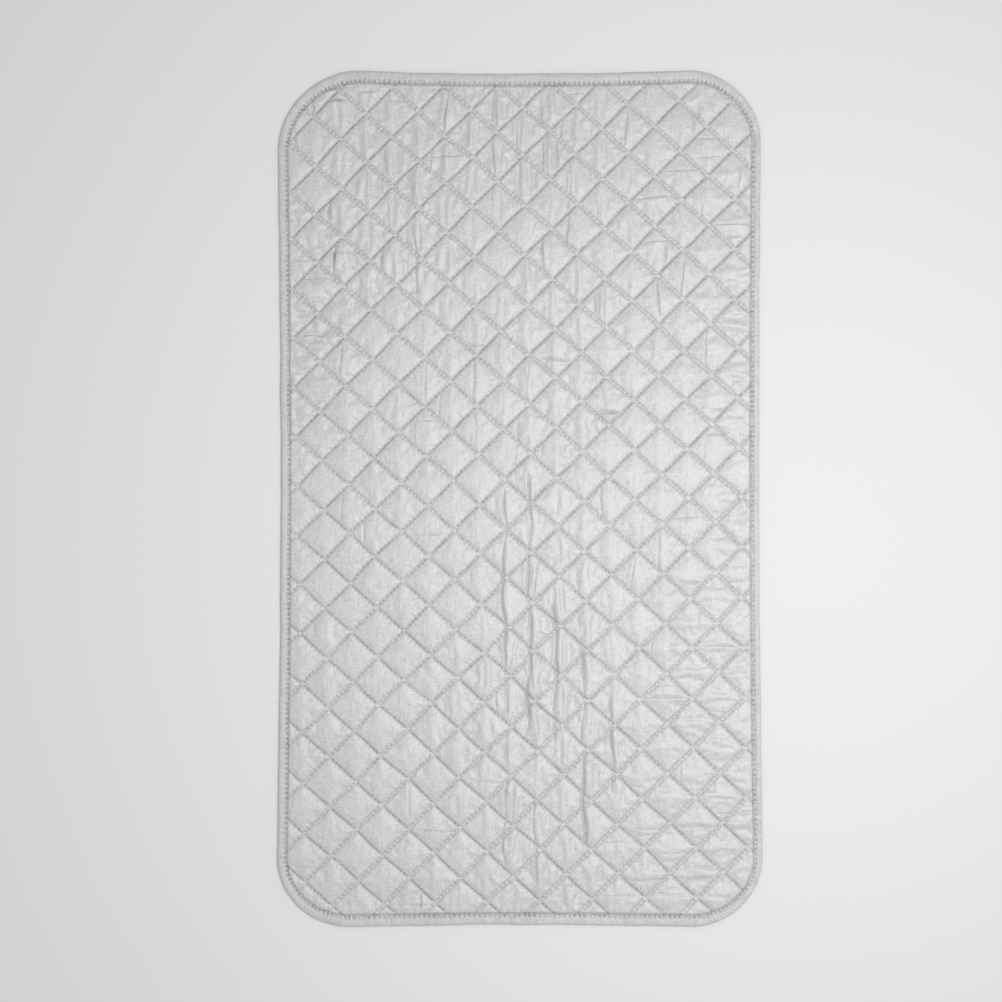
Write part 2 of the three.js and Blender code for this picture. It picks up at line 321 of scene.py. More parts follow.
def noise(grain_x, grain_y):
    """A function of place that gives smooth random numbers of unit spread, with grains of this size."""
    step = min(grain_x, grain_y) / 2
    span_x, span_y = HALF_WIDTH + FIELD_MARGIN, HALF_LENGTH + FIELD_MARGIN
    shape = (int(2 * span_y / step) + 2, int(2 * span_x / step) + 2)
    waves = np.fft.rfft2(rng.standard_normal(shape))
    fy = np.fft.fftfreq(shape[0])[:, None] * grain_y / step
    fx = np.fft.rfftfreq(shape[1])[None, :] * grain_x / step
    field = np.fft.irfft2(waves * np.exp(-2 * math.pi ** 2 * (fx ** 2 + fy ** 2) / 4), shape)
    field /= field.std()

    def value(x, y):
        u = np.clip((x + span_x) / step, 0, shape[1] - 2)
        v = np.clip((y + span_y) / step, 0, shape[0] - 2)
        i, j = u.astype(int), v.astype(int)
        u, v = u - i, v - j
        low = field[j, i] * (1 - u) + field[j, i + 1] * u
        high = field[j + 1, i] * (1 - u) + field[j + 1, i + 1] * u
        return low * (1 - v) + high * v

    return value


# Random fields of the cover and the backing, drawn in this order, each with the size of its grains
wander_x = noise(26, 26)
wander_y = noise(26, 26)
tension = noise(7, 7)
slack_patches = noise(45, 45)
fade = noise(18, 18)
streaks = noise(1.2, 9)
grain = noise(2.5, 2.5)
swell = noise(60, 60)


def bump_at(x, y, centre_x, centre_y, reach_x, reach_y):
    """A soft hill of height 1 at a place."""
    return np.exp(-(((x - centre_x) / reach_x) ** 2 + ((y - centre_y) / reach_y) ** 2))


def lattice_place(rising, falling):
    """The place with these lattice numbers. Whole numbers lie on the seams. As sewn ones do, these wander a
    little, and the whole lattice is racked."""
    a = RISING.first + RISING.pitch * rising
    b = FALLING.first + FALLING.pitch * falling
    det = RISING.normal_x * FALLING.normal_y - RISING.normal_y * FALLING.normal_x
    x = (a * FALLING.normal_y - RISING.normal_y * b) / det
    y = (RISING.normal_x * b - a * FALLING.normal_x) / det
    u, v = x / HALF_WIDTH, y / HALF_LENGTH
    racked = SHIFT_Y + BEND_ACROSS * u * u + TWIST * u * v + BEND_ALONG * v * v
    return x + SHIFT_X + SHEAR_X * v + WANDER_X * wander_x(x, y), y + racked + WANDER_Y * wander_y(x, y)


def tightness(pull):
    """How far a seam with this pull shuts over its thread, from 0 to 1."""
    return np.clip((pull - LOOSE_PULL) / SHUTTING_PULL, 0, 1)


class Lattice:
    """A grid over the pad that follows the seams, with a number of cells to each diamond side."""

    def __init__(self, cells):
        self.cells = cells
        number = np.arange(-LATTICE_REACH * cells, LATTICE_REACH * cells + 1)
        i, j = np.meshgrid(number, number)
        self.rising, self.falling = i / cells, j / cells
        self.x, self.y = lattice_place(self.rising, self.falling)
        self.depth, self.inset = depth_inside(self.x, self.y)
        self.to_rising = np.abs(self.rising - np.round(self.rising)) * RISING.pitch
        self.to_falling = np.abs(self.falling - np.round(self.falling)) * FALLING.pitch
        self.to_seam = np.minimum(self.to_rising, self.to_falling)

    def pillow(self):
        """0 on the seams and at the binding, 1 at the crown of each diamond."""
        from_rising = 1 - np.exp(-self.to_rising / PILLOW_SHOULDER)
        from_falling = 1 - np.exp(-self.to_falling / PILLOW_SHOULDER)
        from_binding = 1 - np.exp(-np.maximum(self.inset - BINDING_STITCH_INSET, 0) / PILLOW_EDGE)
        return from_rising * from_falling * from_binding

    def seams(self):
        """Shares of the groove along the seams, of the slits in it and of the puckers beside it. A row's
        stitches start anew at every second corner it turns at. The rising seams are tighter at the far end
        and the falling ones at the near end. A tight seam shuts over its thread, a loose one has slits on
        both sides of it."""
        below, above = np.floor(self.falling), np.ceil(self.rising)
        sides = (
            (self.to_rising, self.to_falling, self.falling - below, below - np.round(self.rising), 1),
            (self.to_falling, self.to_rising, above - self.rising, np.round(self.falling) - above, -1),
        )
        groove, slit, pucker = (np.zeros(self.x.shape) for _ in range(3))
        for away, to_corner, share, row, lean in sides:
            stitch = share * STITCHES_PER_SIDE - 0.5 * (row % 2)
            along = np.abs(stitch - np.round(stitch)) * RISING.pitch / STITCHES_PER_SIDE
            pull = 1 + lean * (PULL_LEAN + PULL_ALONG * self.y / HALF_LENGTH)
            pull = pull - PULL_ACROSS * self.x / HALF_WIDTH + PULL_SPREAD * tension(self.x, self.y)
            ease = np.minimum(to_corner / CORNER_EASE, 1)
            pull = np.clip(pull, LEAST_PULL, MOST_PULL) * ease
            tight = tightness(pull)
            sharpness = GROOVE_SHARPNESS + GROOVE_SHARPER_BY_PULL * pull
            groove = np.maximum(groove, pull * np.exp(-(away * sharpness / GROOVE_HALF_WIDTH) ** 2))
            opened = tight + (1 - tight) * np.exp(-(along / SLIT_HALF_LENGTH) ** 4)
            middle = pull * opened * np.exp(-(away / SLIT_HALF_WIDTH) ** 2)
            aside = ease * (1 - tight) ** 2 * np.exp(-((away - SLIT_ASIDE) / SLIT_HALF_WIDTH) ** 2)
            slit = np.maximum(slit, np.maximum(middle, SLIT_ASIDE_SHARE * aside))
            beside = np.exp(-((away - PUCKER_ASIDE) / PUCKER_HALF_WIDTH) ** 2)
            pucker -= pull * beside * np.cos(2 * math.pi * stitch)
        return groove, slit, pucker

    def faces(self, keep):
        """Quads whose four corners are all kept, numbered among the kept points."""
        number = np.full(keep.shape, -1)
        number[keep] = np.arange(keep.sum())
        quads = np.stack([number[:-1, :-1], number[:-1, 1:], number[1:, 1:], number[1:, :-1]], axis=-1)
        quads = quads.reshape(-1, 4)
        return quads[(quads >= 0).all(axis=1)]


def mesh_object(name, points, faces, corner_map=None):
    """A smooth-shaded mesh from points in millimetres. Unless the map of its face corners is given, it is
    flat, seen nearly from above."""
    mesh = bpy.data.meshes.new(name)
    count, corners = faces.shape
    metres = (points * MM).astype(np.float32)
    mesh.vertices.add(len(metres))
    mesh.vertices.foreach_set("co", metres.ravel())
    mesh.loops.add(count * corners)
    mesh.loops.foreach_set("vertex_index", faces.astype(np.int32).ravel())
    mesh.polygons.add(count)
    mesh.polygons.foreach_set("loop_start", np.arange(0, count * corners, corners, dtype=np.int32))
    mesh.update(calc_edges=True)
    mesh.polygons.foreach_set("use_smooth", np.ones(count, dtype=bool))
    uv = mesh.uv_layers.new(name="OFBake")
    if corner_map is None:
        corner = metres[faces.ravel()]
        corner_map = (corner[:, :2] + corner[:, 2:] * MAP_TILT) / (MAP_SPAN * MM) + 0.5
    uv.data.foreach_set("uv", corner_map.astype(np.float32).ravel())
    obj = bpy.data.objects.new(name, mesh)
    bpy.context.scene.collection.objects.link(obj)
    return obj


def mark(obj, name, values):
    """A number for each point of a mesh, which its material reads by name."""
    layer = obj.data.attributes.new(name, "FLOAT", "POINT")
    layer.data.foreach_set("value", values.astype(np.float32).ravel())


# Wrinkles of the cover

def slack(x, y):
    """How much longer the cloth is than the place it is sewn to, across and along the pad, as shares."""
    patch = np.clip(1 + PATCH_SPREAD * slack_patches(x, y), LEAST_PATCH, MOST_PATCH)
    across, along = SLACK_ACROSS, SLACK_ALONG
    for share, *hill in HILLS_ACROSS:
        across = across + share * bump_at(x, y, *hill)
    for share, *hill in HILLS_ALONG:
        along = along + share * bump_at(x, y, *hill)
    return across * patch, along * patch


def diamonds(grid):
    """Row and column numbers of the grid points of each diamond on the pad, one block to a diamond."""
    steps = np.arange(grid.cells + 1)
    first = np.arange(2 * LATTICE_REACH) * grid.cells
    rows, columns = np.broadcast_arrays(
        first[:, None, None, None] + steps[:, None], first[None, :, None, None] + steps[None, :]
    )
    rows, columns = (block.reshape(-1, len(steps), len(steps)) for block in (rows, columns))
    used = (grid.depth[rows, columns] > LAYER_EDGE_INSET).any(axis=(1, 2))
    return rows[used], columns[used]


def drawn_in(cut, sewn, held):
    """Blocks of cut cloth after a simulation that draws their held points in to the sewn places."""
    number = np.arange(held.size).reshape(held.shape)
    corners = [number[:, :-1, :-1], number[:, :-1, 1:], number[:, 1:, 1:], number[:, 1:, :-1]]
    cloth = mesh_object("cloth", cut.reshape(-1, 3) * CLOTH_SCALE, np.stack(corners, axis=-1).reshape(-1, 4))
    cloth.shape_key_add(name="cut")
    key = cloth.shape_key_add(name="sewn")
    key.data.foreach_set("co", (sewn * CLOTH_SCALE * MM).astype(np.float32).ravel())
    key.value = 0
    key.keyframe_insert("value", frame=1)
    key.value = 1
    key.keyframe_insert("value", frame=CLOTH_SEWN_FRAME)
    pins = cloth.vertex_groups.new(name="seams")
    pins.add(np.nonzero(held.ravel())[0].tolist(), 1.0, "REPLACE")
    modifier = cloth.modifiers.new("gather", "CLOTH")
    modifier.collision_settings.use_collision = False
    modifier.point_cache.frame_end = CLOTH_FRAMES
    for setting, value in CLOTH_SETTINGS.items():
        setattr(modifier.settings, setting, value)
    modifier.settings.effector_weights.gravity = 0
    for frame_number in range(1, CLOTH_FRAMES + 1):
        bpy.context.scene.frame_set(frame_number)
    result = cloth.evaluated_get(bpy.context.evaluated_depsgraph_get())
    points = np.zeros(sewn.size, dtype=np.float32)
    result.data.vertices.foreach_get("co", points)
    bpy.data.objects.remove(cloth)
    bpy.context.scene.frame_set(1)
    return points.reshape(sewn.shape) / (CLOTH_SCALE * MM)


def gathered(grid):
    """Each diamond of cloth is cut with its slack and drawn in to its sewn seams, so that it wrinkles.
    Gives the movement of each place."""
    rows, columns = diamonds(grid)
    places = np.stack([grid.x, grid.y, SEAM_HEIGHT + PILLOW_RISE * grid.pillow()], axis=-1)
    sewn = places[rows, columns]
    sewn[..., 2] += CLOTH_UNEVENNESS * np.random.default_rng(CLOTH_SEED).standard_normal(rows.shape)
    centre = sewn.mean(axis=(1, 2), keepdims=True)
    longer = np.stack(slack(centre[..., 0], centre[..., 1]), axis=-1)
    cut = sewn.copy()
    cut[..., :2] += (sewn - centre)[..., :2] * longer
    held = (grid.to_seam < PIN_REACH) | (grid.inset < BINDING_WIDTH)
    after = np.clip(drawn_in(cut, sewn, held[rows, columns]) - sewn, -CLOTH_MOST, CLOTH_MOST)
    arch = np.sin(math.pi * np.arange(grid.cells + 1) / grid.cells)
    arch = arch[:, None] * arch[None, :]
    swelling = (after[..., 2] * arch).sum(axis=(1, 2), keepdims=True) / (arch ** 2).sum()
    after[..., 2] -= CLOTH_EVENED * swelling * arch
    moved = np.zeros(places.shape)
    moved[rows, columns] = after
    return moved


def finer(field, factor):
    """A lattice field on a grid with more cells, smoothed between its points."""
    for axis in (0, 1):
        count = field.shape[axis]
        place = np.arange((count - 1) * factor + 1) / factor
        low = np.minimum(place.astype(int), count - 2)
        share = (place - low).reshape((-1, 1, 1) if axis == 0 else (1, -1, 1))
        field = np.take(field, low, axis) * (1 - share) + np.take(field, low + 1, axis) * share
        shifted = [np.roll(field, k, axis) for k in (-2, -1, 1, 2)]
        field = (3 * field + 2 * (shifted[1] + shifted[2]) + shifted[0] + shifted[3]) / 9
    return field


def crease(x, y, centre, low, high, rise, softness, tilt):
    """A fold along y: a thin valley with a lip on its right that sinks back slowly. A soft one bends, and
    its lip is wider."""
    waves = sum(width * np.sin(y / length + phase * centre) for width, length, phase in SWAY_WAVES)
    t = x - centre - tilt * (y - (low + high) / 2) - SWAY * softness * waves
    taper = min(TAPER_MOST, TAPER_SHARE * (high - low))
    end = np.clip((y - low) / taper, 0, 1) * np.clip((high - y) / taper, 0, 1)
    strength = np.clip(STRENGTH_MEAN + STRENGTH_SPREAD * fade(x, y), STRENGTH_LEAST, STRENGTH_MOST)
    right = np.maximum(t, 0)
    lip = 0.5 * (1 + np.tanh(t / LIP_STEP)) * (1 - softness * np.exp(-right / LIP_START))
    lip = lip * np.exp(-right / (LIP_REACH + LIP_REACH_SOFTER * softness))
    valley_half_width = VALLEY_HALF_WIDTH + VALLEY_WIDER_BY_RISE * rise
    valley = VALLEY_DEPTH * np.exp(-((t + VALLEY_ASIDE) / valley_half_width) ** 2)
    return rise * end * strength * (lip - valley)


def creases(x, y):
    """Height that the sharp creases add at each place: the strongest ones, then short ones from seam to
    seam of a diamond."""
    folds = [(False, *fold, UPRIGHT_SOFTNESS, 0) for fold in UPRIGHT_CREASES]
    folds += [(True, *fold, LYING_SOFTNESS, 0) for fold in LYING_CREASES]
    middles = np.arange(-LATTICE_REACH, LATTICE_REACH) + 0.5
    for middle_x, middle_y in np.stack(lattice_place(*np.meshgrid(middles, middles)), axis=-1).reshape(-1, 2):
        for lying, share in zip((False, True), slack(middle_x, middle_y)):
            for _ in range(rng.poisson(CREASES_PER_SLACK * share)):
                offset = rng.uniform(-SHORT_OFFSET, SHORT_OFFSET) * DIAMOND_REACH
                half = DIAMOND_REACH - abs(offset)
                across, along = (middle_y, middle_x) if lying else (middle_x, middle_y)
                rise, tilt = rng.uniform(SHORT_RISE_LEAST, SHORT_RISE_MOST), rng.normal(0, SHORT_TILT_SPREAD)
                folds.append((lying, across + offset, along - half, along + half, rise, SHORT_SOFTNESS, tilt))
    total = np.zeros_like(x)
    for lying, centre, low, high, *form in folds:
        u, v, centre = (-y, x, -centre) if lying else (x, y, centre)
        near = (np.abs(u - centre - STRIP_MIDDLE) < STRIP_HALF_WIDTH) & (v > low) & (v < high)
        total[near] += crease(u[near], v[near], centre, low, high, *form)
    return total


# Top cover

fine = Lattice(COVER_CELLS)
movement = finer(gathered(Lattice(CLOTH_CELLS)), COVER_CELLS // CLOTH_CELLS)

in_field = 1 - np.exp(-np.maximum(fine.inset - BINDING_STITCH_INSET, 0) / FIELD_EDGE)
groove, slit, beside = (in_field * share for share in fine.seams())
height = SEAM_HEIGHT + PILLOW_RISE * fine.pillow() + movement[..., 2]
uneven = STREAK_RISE * streaks(fine.x, fine.y) + GRAIN_RISE * grain(fine.x, fine.y)
height += in_field * (uneven + SWELL_RISE * swell(fine.x, fine.y))
folds = in_field * creases(fine.x, fine.y) * np.clip(CREASE_ON_SEAM + fine.to_seam / CREASE_GROWTH, 0, 1)
height += folds
under_tape = np.clip((BINDING_WIDTH + PRESS_BESIDE - fine.inset) / PRESS_RUN, 0, 1)
height += PUCKER_RISE * beside - GROOVE_DEPTH * groove - PRESS_DEPTH * under_tape ** 2 * (3 - 2 * under_tape)
stitch_height = height.copy()
wadding_top = WADDING_HEIGHT + WADDING_CLEARANCE + WADDING_RISE * fine.pillow()
height = np.maximum(height - SLIT_DEPTH * slit, wadding_top)

keep = fine.depth > LAYER_EDGE_INSET
cover = mesh_object(
    "top_cover",
    np.stack([fine.x + movement[..., 0], fine.y + movement[..., 1], height], axis=-1)[keep],
    fine.faces(keep),
)
# Painted shade on the cover: darker colour in the grooves and slits, along a line beside the tape's hem and
# in deep creases.
beside_hem = np.exp(-((fine.inset - BINDING_WIDTH - HEM_LINE_BESIDE) / HEM_LINE_HALF_WIDTH) ** 2)
deep_folds = np.clip((-folds - DEEP_CREASE) / DEEP_CREASE_RUN, 0, 1)
cover_painted_shade = GROOVE_PAINTED_SHADE * groove + SLIT_PAINTED_SHADE * slit + HEM_PAINTED_SHADE * beside_hem + CREASE_PAINTED_SHADE * deep_folds
mark(cover, "painted_shade", np.minimum(cover_painted_shade, MOST_PAINTED_SHADE)[keep])

# Backing

under = Lattice(BACKING_CELLS)
keep = under.depth > LAYER_EDGE_INSET
groove_below, slit_below, beside_below = under.seams()
tuck = BACKING_TUCK * np.exp(-under.to_seam / TUCK_REACH) + TUCK_IN_SLIT * slit_below
tuck = tuck + PUCKER_RISE * np.maximum(-beside_below, 0)
at_hem = np.clip((BINDING_WIDTH + HEM_TUCK_BESIDE - under.inset) / HEM_TUCK_RUN, 0, 1)
tuck = np.maximum(tuck, BACKING_TUCK * at_hem)
backing_height = BACKING_HEIGHT + tuck + BACKING_STREAK * np.abs(streaks(under.x, under.y))
backing = mesh_object(
    "backing", np.stack([under.x, under.y, backing_height], axis=-1)[keep], under.faces(keep)[:, ::-1]
)
# Painted shade on the backing: darker colour in its grooves and slits.
backing_painted_shade = GROOVE_PAINTED_SHADE * groove_below + SLIT_PAINTED_SHADE * slit_below
mark(backing, "painted_shade", np.minimum(backing_painted_shade, MOST_PAINTED_SHADE_BELOW)[keep])


# Wadding

def wadding_mesh():
    """The batt between the cloths: thick under each diamond and pressed thin along the seams."""
    batt = Lattice(WADDING_CELLS)
    keep = batt.depth > WADDING_EDGE_INSET
    pillow = batt.pillow()[keep]
    flat = np.stack([batt.x, batt.y], axis=-1)[keep]
    top = np.column_stack([flat, WADDING_HEIGHT + WADDING_RISE * pillow])
    bottom = np.column_stack([flat, WADDING_BOTTOM - WADDING_SAG * pillow])
    quads = batt.faces(keep)
    edges = np.concatenate([quads[:, [k, (k + 1) % 4]] for k in range(4)])
    known = {(a, b) for a, b in edges}
    rim = np.array([(a, b) for a, b in edges if (b, a) not in known])
    sides = np.column_stack([rim[:, 1], rim[:, 0], rim[:, 0] + len(top), rim[:, 1] + len(top)])
    faces = np.concatenate([quads, quads[:, ::-1] + len(top), sides])
    return mesh_object("wadding", np.concatenate([top, bottom]), faces)


wadding = wadding_mesh()


# Edge binding

def outline_path(spacing):
    """Points round the plain outline, each with the angle of its outward direction."""
    arcs = []
    for (sx, sy), start in (((1, 1), 0), ((-1, 1), 90), ((-1, -1), 180), ((1, -1), 270)):
        radius = CORNER_RADII[sx, sy]
        steps = round(radius * math.pi / 2 / spacing)
        angle = np.radians(start + 90 * np.arange(steps + 1) / steps)
        x = sx * (HALF_WIDTH - radius) + radius * np.cos(angle)
        y = sy * (HALF_LENGTH - radius) + radius * np.sin(angle)
        arcs.append(np.column_stack([x, y, angle]))
    path = []
    for arc, following in zip(arcs, arcs[1:] + arcs[:1]):
        run = following[0, :2] - arc[-1, :2]
        steps = round(np.hypot(*run) / spacing)
        share = (np.arange(1, steps) / steps)[:, None]
        path += [arc, np.column_stack([arc[-1, :2] + share * run, np.full(steps - 1, arc[-1, 2])])]
    return np.concatenate(path)


def beside_outline(path, inset):
    """Places at a distance inside the outline, further in on the short sides."""
    inset = inset * (1 + BINDING_WIDER * np.sin(path[:, 2:3]) ** 2)
    return to_pad(path[:, 0:1] - np.cos(path[:, 2:3]) * inset, path[:, 1:2] - np.sin(path[:, 2:3]) * inset)


binding_path = outline_path(BINDING_STITCH_PITCH / STATIONS_PER_STITCH)
binding_path = binding_path[: len(binding_path) // STATIONS_PER_STITCH * STATIONS_PER_STITCH]
pucker, waver = noise(4, 4), noise(25, 25)


def tape_fold(aside):
    """Height of a fold across the tape at a distance to its side: a ridge with a valley beside it."""
    ridge = RIDGE_RISE * np.exp(-(aside / RIDGE_HALF_WIDTH) ** 2)
    return ridge - VALLEY_FALL * np.exp(-((aside - VALLEY_BESIDE) / TAPE_VALLEY_HALF_WIDTH) ** 2)


def unrolled(faces):
    """Map of the tape laid out flat and cut into rows, for each corner of each face."""
    station, place = np.indices(faces.shape[:2])
    per_row = math.ceil(len(faces) / MAP_ROWS)
    row = station // per_row
    along = (station - row * per_row)[..., None] + np.array([0, 0, 1, 1])
    across = (place[..., None] + np.array([0, 1, 1, 0])) / faces.shape[1]
    u = MAP_END_MARGIN + (1 - 2 * MAP_END_MARGIN) * along / per_row
    v = (row[..., None] + MAP_ROW_MARGIN + (1 - 2 * MAP_ROW_MARGIN) * across) / MAP_ROWS
    return np.stack([u, v], axis=-1)


def binding_mesh():
    """The binding tape, pulled in at each stitch and puckered along its inner edge. Its colour carries
    painted shade in the stitch pits and along the line of its seam.
    """
    inset, level = BINDING_SECTION[None, :, 0], BINDING_SECTION[None, :, 1]
    x, y = beside_outline(binding_path, inset + HEM_WAVER * waver(binding_path[:, :1], binding_path[:, 1:2]))
    place = np.arange(len(binding_path)) % STATIONS_PER_STITCH
    to_hole = np.minimum(place, STATIONS_PER_STITCH - place)[:, None]
    to_hole = to_hole * BINDING_STITCH_PITCH / STATIONS_PER_STITCH
    from_seam = inset - BINDING_STITCH_INSET
    pit = np.exp(-(to_hole / PIT_HALF_LENGTH) ** 2 - (from_seam / PIT_HALF_WIDTH) ** 2)
    on_top = np.clip((level - UPPER_LEVEL) / UPPER_RUN, 0, 1)
    z = level + on_top * (TAPE_PUCKER * pucker(x, y) - PIT_DEPTH * pit)
    for fold_x, fold_y in TAPE_FOLDS:
        aside = np.cos(binding_path[:, 2:3]) * (y - fold_y) - np.sin(binding_path[:, 2:3]) * (x - fold_x)
        z += on_top * tape_fold(aside) * (np.hypot(x - fold_x, y - fold_y) < TAPE_FOLD_REACH)
    ring = np.arange(x.size).reshape(x.shape)
    after = np.roll(ring, -1, axis=0)
    faces = np.stack([ring[:, :-1], ring[:, 1:], after[:, 1:], after[:, :-1]], axis=-1)
    points = np.stack([x, y, z], axis=-1)
    tape = mesh_object("edge_binding", points.reshape(-1, 3), faces.reshape(-1, 4), unrolled(faces))
    # Painted shade on the tape: darker colour in the stitch pits and along the line of the seam.
    beside_seam = np.exp(-((from_seam - TAPE_SEAM_BESIDE) / TAPE_SEAM_HALF_WIDTH) ** 2)
    mark(tape, "painted_shade", PIT_PAINTED_SHADE * pit + TAPE_SEAM_PAINTED_SHADE * beside_seam)
    return tape


binding = binding_mesh()


# Stitches

def bead():
    """Points and faces of one stitch along x: two rings, and a tip at each end that dips in."""
    turn = np.arange(BEAD_SIDES) * math.pi / (BEAD_SIDES / 2)
    ring = np.stack([np.cos(turn), np.sin(turn)], axis=-1)
    points = np.concatenate([
        [(-0.5, 0, BEAD_DIP)],
        np.column_stack([np.full(BEAD_SIDES, -BEAD_HALF_STRAIGHT), ring]),
        np.column_stack([np.full(BEAD_SIDES, BEAD_HALF_STRAIGHT), ring]),
        [(0.5, 0, BEAD_DIP)],
    ])
    points[:, 0] *= STITCH_SHOWN
    near = 1 + np.arange(BEAD_SIDES)
    near_next = np.roll(near, -1)
    far, far_next = near + BEAD_SIDES, near_next + BEAD_SIDES
    last = np.full(BEAD_SIDES, len(points) - 1)
    faces = np.concatenate([
        np.column_stack([np.zeros(BEAD_SIDES, int), near_next, near]),
        np.column_stack([near, near_next, far_next]),
        np.column_stack([near, far_next, far]),
        np.column_stack([far, far_next, last]),
    ])
    return points, faces


def stitch_mesh(name, starts, ends, width, side):
    """Beads of thread between pairs of needle holes, on the upper (1) or the lower (-1) side."""
    shape, faces = bead()
    along = ends - starts
    length = np.linalg.norm(along, axis=1)[:, None, None]
    along = along[:, None, :] / length
    across = np.stack([-along[..., 1], along[..., 0], np.zeros_like(along[..., 0])], axis=-1)
    upright = np.array([0, 0, side])
    each = (len(starts), 1, 1)
    points = (starts + ends)[:, None, :] / 2 + along * shape[None, :, 0:1] * length
    width = width * rng.uniform(LEAST_WIDTH, MOST_WIDTH, each)
    points = points + across * (shape[None, :, 1:2] * width / 2 + rng.normal(0, SPREAD_ASIDE, each))
    points = points + along * rng.normal(0, SPREAD_ALONG, each)
    points = points + upright * shape[None, :, 2:3] * width * BEAD_FLATNESS
    faces = faces if side > 0 else faces[:, ::-1]
    faces = faces[None] + (np.arange(len(starts)) * len(shape))[:, None, None]
    return mesh_object(name, points.reshape(-1, 3), faces.reshape(-1, 3))


def zigzag(column):
    """Needle holes of one zigzag row as lattice numbers. It runs up the pad between two lines of corners
    and turns back just short of each."""
    holes = []
    for row in range(-2 * LATTICE_REACH, 2 * LATTICE_REACH):
        turns_left = (column - row) % 2 == 0
        line, following = (column, column + 1) if turns_left else (column + 1, column)
        start = np.array([line - row, line + row]) / 2
        end = np.array([following - row - 1, following + row + 1]) / 2
        share = np.arange(0.5 * (row % 2), STITCHES_PER_SIDE, 1)[:, None] / STITCHES_PER_SIDE
        side = start + share * (end - start)
        if row % 2 == 0:
            side[0] += (1 if turns_left else -1) / COVER_CELLS
        holes.append(side)
    return np.concatenate(holes)


def quilting_stitches():
    """Both ends of every quilting stitch, as index numbers on the cover's lattice."""
    starts, ends = [], []
    for column in range(-LATTICE_REACH, LATTICE_REACH):
        holes = np.round(zigzag(column) * COVER_CELLS).astype(int) + LATTICE_REACH * COVER_CELLS
        on_grid = ((holes >= 0) & (holes < fine.x.shape[0])).all(axis=1)
        inner = np.zeros(len(holes), bool)
        inner[on_grid] = fine.inset[holes[on_grid, 1], holes[on_grid, 0]] > BINDING_WIDTH
        pair = inner[:-1] & inner[1:]
        starts.append(holes[:-1][pair])
        ends.append(holes[1:][pair])
    return np.concatenate(starts), np.concatenate(ends)


def on_cover(index):
    """Places for thread on the cover at lattice index numbers, deeper in a tight seam."""
    at = (index[:, 1], index[:, 0])
    lift = THREAD_LIFT - THREAD_SINK * tightness(groove[at])
    moved = movement[at]
    return np.column_stack([fine.x[at] + moved[:, 0], fine.y[at] + moved[:, 1], stitch_height[at] + lift])


def at_level(places, level):
    """The same places at one height."""
    return np.column_stack([places[:, :2], np.full(len(places), level)])


first, second = quilting_stitches()
upper = [on_cover(index) for index in (first, second)]
lower = [at_level(places, BACKING_HEIGHT + BOBBIN_LIFT) for places in upper]
plumpness = LOOSE_PLUMPNESS - TIGHT_LOSS * tightness(groove[first[:, 1], first[:, 0]])
quilting = stitch_mesh("quilting_stitches", *upper, STITCH_WIDTH * plumpness[:, None, None], 1)
bobbin = stitch_mesh("bobbin_stitches", *lower, BOBBIN_WIDTH, -1)

hem_holes = np.column_stack(beside_outline(binding_path[::STATIONS_PER_STITCH], BINDING_STITCH_INSET))
on_tape = at_level(hem_holes, BINDING_STITCH_LEVEL)
below_tape = at_level(hem_holes, BINDING_BOBBIN_LEVEL)
binding_stitches = stitch_mesh(
    "binding_stitches", on_tape, np.roll(on_tape, -1, axis=0), BINDING_STITCH_WIDTH, 1
)
binding_bobbin = stitch_mesh("binding_bobbin", below_tape, np.roll(below_tape, -1, axis=0), BOBBIN_WIDTH, -1)


# Materials

